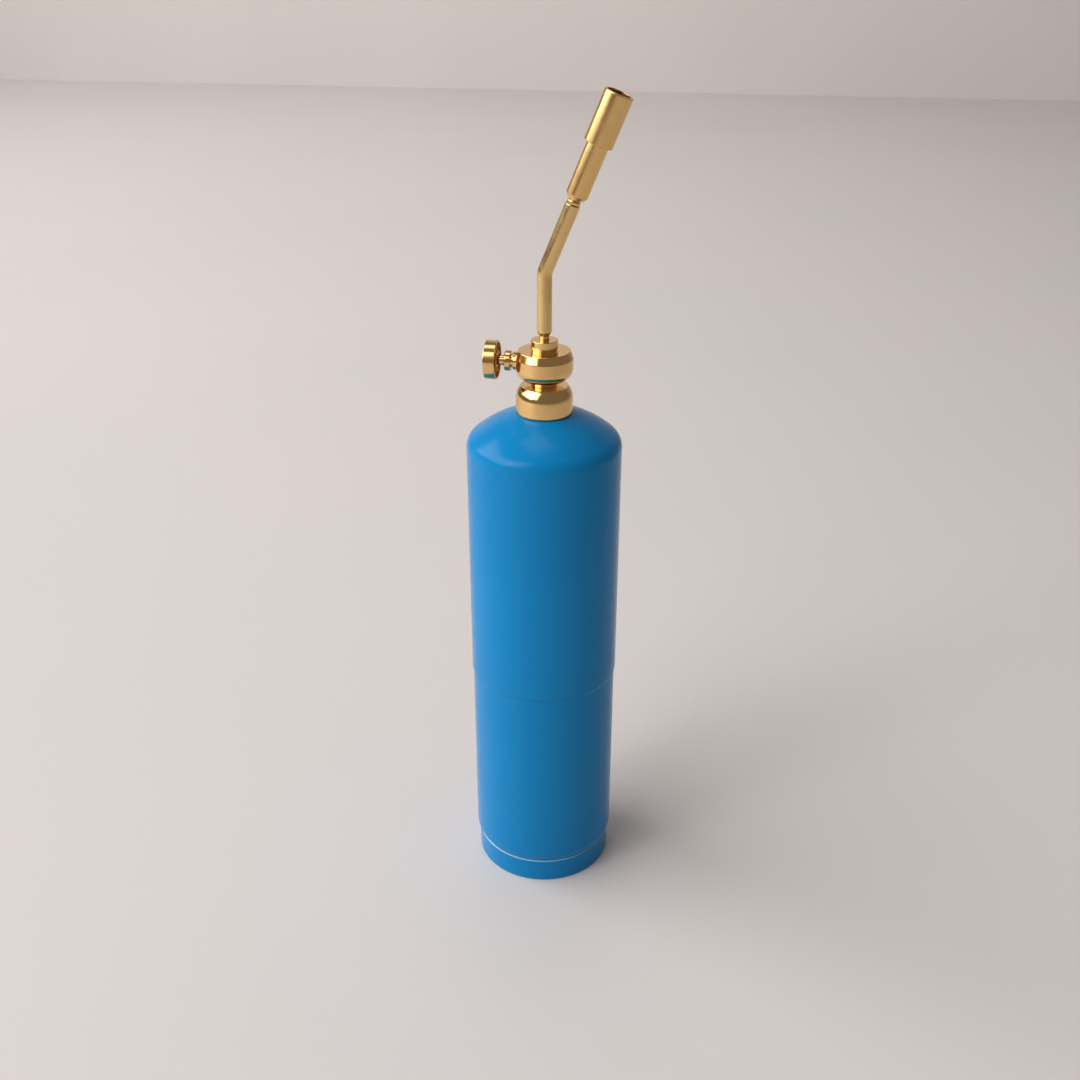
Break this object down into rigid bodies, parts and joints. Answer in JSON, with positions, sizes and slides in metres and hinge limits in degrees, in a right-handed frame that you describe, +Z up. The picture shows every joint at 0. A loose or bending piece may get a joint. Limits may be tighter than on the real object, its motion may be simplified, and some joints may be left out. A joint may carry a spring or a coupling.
{
  "type": "propane torch",
  "caption": "Brass pencil-flame torch head with a bent tube, a side control knob and a swivel coupling nut, screwed onto a tall blue steel gas cylinder.",
  "frame": {"origin": "centre of the foot ring, on the floor", "axes": "+Z up along the cylinder; the burner leans towards +X and the control knob points along -X; +Y is the relief valve's side"},
  "size_m": [0.0732, 0.073, 0.3935],
  "materials": {
    "cylinder_paint": "satin blue baked enamel",
    "boss_steel": "zinc-plated",
    "spring_steel": "drawn wire",
    "turned_brass": "fine-turned, polished",
    "knob_brass": "turned, satin",
    "tube_brass": "drawn, satin",
    "burner_brass": "turned, satin",
    "valve_brass": "turned",
    "sintered_bronze": "sintered, matt",
    "seal_rubber": "matt",
    "screw_steel": "plated"
  },
  "bodies": {
    "cylinder": {"lower_shell": "cylinder_paint", "upper_shell": "cylinder_paint", "girth_braze": "cylinder_paint", "foot_ring": "cylinder_paint", "neck_boss": "boss_steel", "neck_weld": "boss_steel", "valve_cartridge": "valve_brass", "valve_spring": "spring_steel", "relief_body": "valve_brass", "relief_spring": "spring_steel"},
    "check_valve": {"valve_pin": "valve_brass", "poppet_seal": "seal_rubber"},
    "relief": {"relief_poppet": "valve_brass"},
    "seal": {"inlet_seal": "seal_rubber"},
    "head": {"inlet_spigot": "turned_brass", "snap_ring": "spring_steel", "depressor_pin": "valve_brass", "inlet_filter": "sintered_bronze", "valve_body": "turned_brass", "gland_nut": "turned_brass", "outlet_nut": "turned_brass", "outlet_gasket": "seal_rubber", "feed_tube": "tube_brass", "jet_collar": "tube_brass", "jet": "valve_brass", "mixing_tube": "burner_brass", "flame_tube": "burner_brass", "flame_holder": "sintered_bronze"},
    "stem_seal": {"stem_o_ring": "seal_rubber"},
    "knob": {"needle_stem": "turned_brass", "control_knob": "knob_brass", "knob_screw": "screw_steel"},
    "nut": {"coupling_nut": "turned_brass"}
  },
  "joints": [
    {"name": "head_lift", "type": "slide", "parent": "cylinder", "child": "seal", "axis": [0, 0, 1], "range_m": [0, 0.00544]},
    {"name": "head_swivel", "type": "hinge", "parent": "seal", "child": "head", "pos_m": [0, 0, 0.25288], "axis": [0, 0, 1], "continuous": true},
    {"name": "nut_turn", "type": "hinge", "parent": "head", "child": "nut", "pos_m": [0, 0, 0.25288], "axis": [0, 0, 1], "range_deg": [0, 2160]},
    {"name": "stem_travel", "type": "slide", "parent": "head", "child": "stem_seal", "axis": [-1, 0, 0], "range_m": [0, 0.0012]},
    {"name": "knob_turn", "type": "hinge", "parent": "stem_seal", "child": "knob", "pos_m": [-0.02, 0, 0.27498], "axis": [-1, 0, 0], "range_deg": [0, 540]},
    {"name": "pin_lift", "type": "slide", "parent": "cylinder", "child": "check_valve", "axis": [0, 0, 1], "range_m": [0, 0.0012], "deforming": ["valve_spring"]},
    {"name": "relief_lift", "type": "slide", "parent": "cylinder", "child": "relief", "axis": [0, 0, 1], "range_m": [0, 0.0008], "stiffness_N_per_m": 3000, "springref_m": -0.001, "deforming": ["relief_spring"]}
  ],
  "couplings": [
    {"joint": "nut_turn", "follows": "head_lift", "rad_per_m": 6927.4},
    {"joint": "pin_lift", "follows": "head_lift", "ratio": 0.21867},
    {"joint": "knob_turn", "follows": "stem_travel", "rad_per_m": 7854}
  ]
}
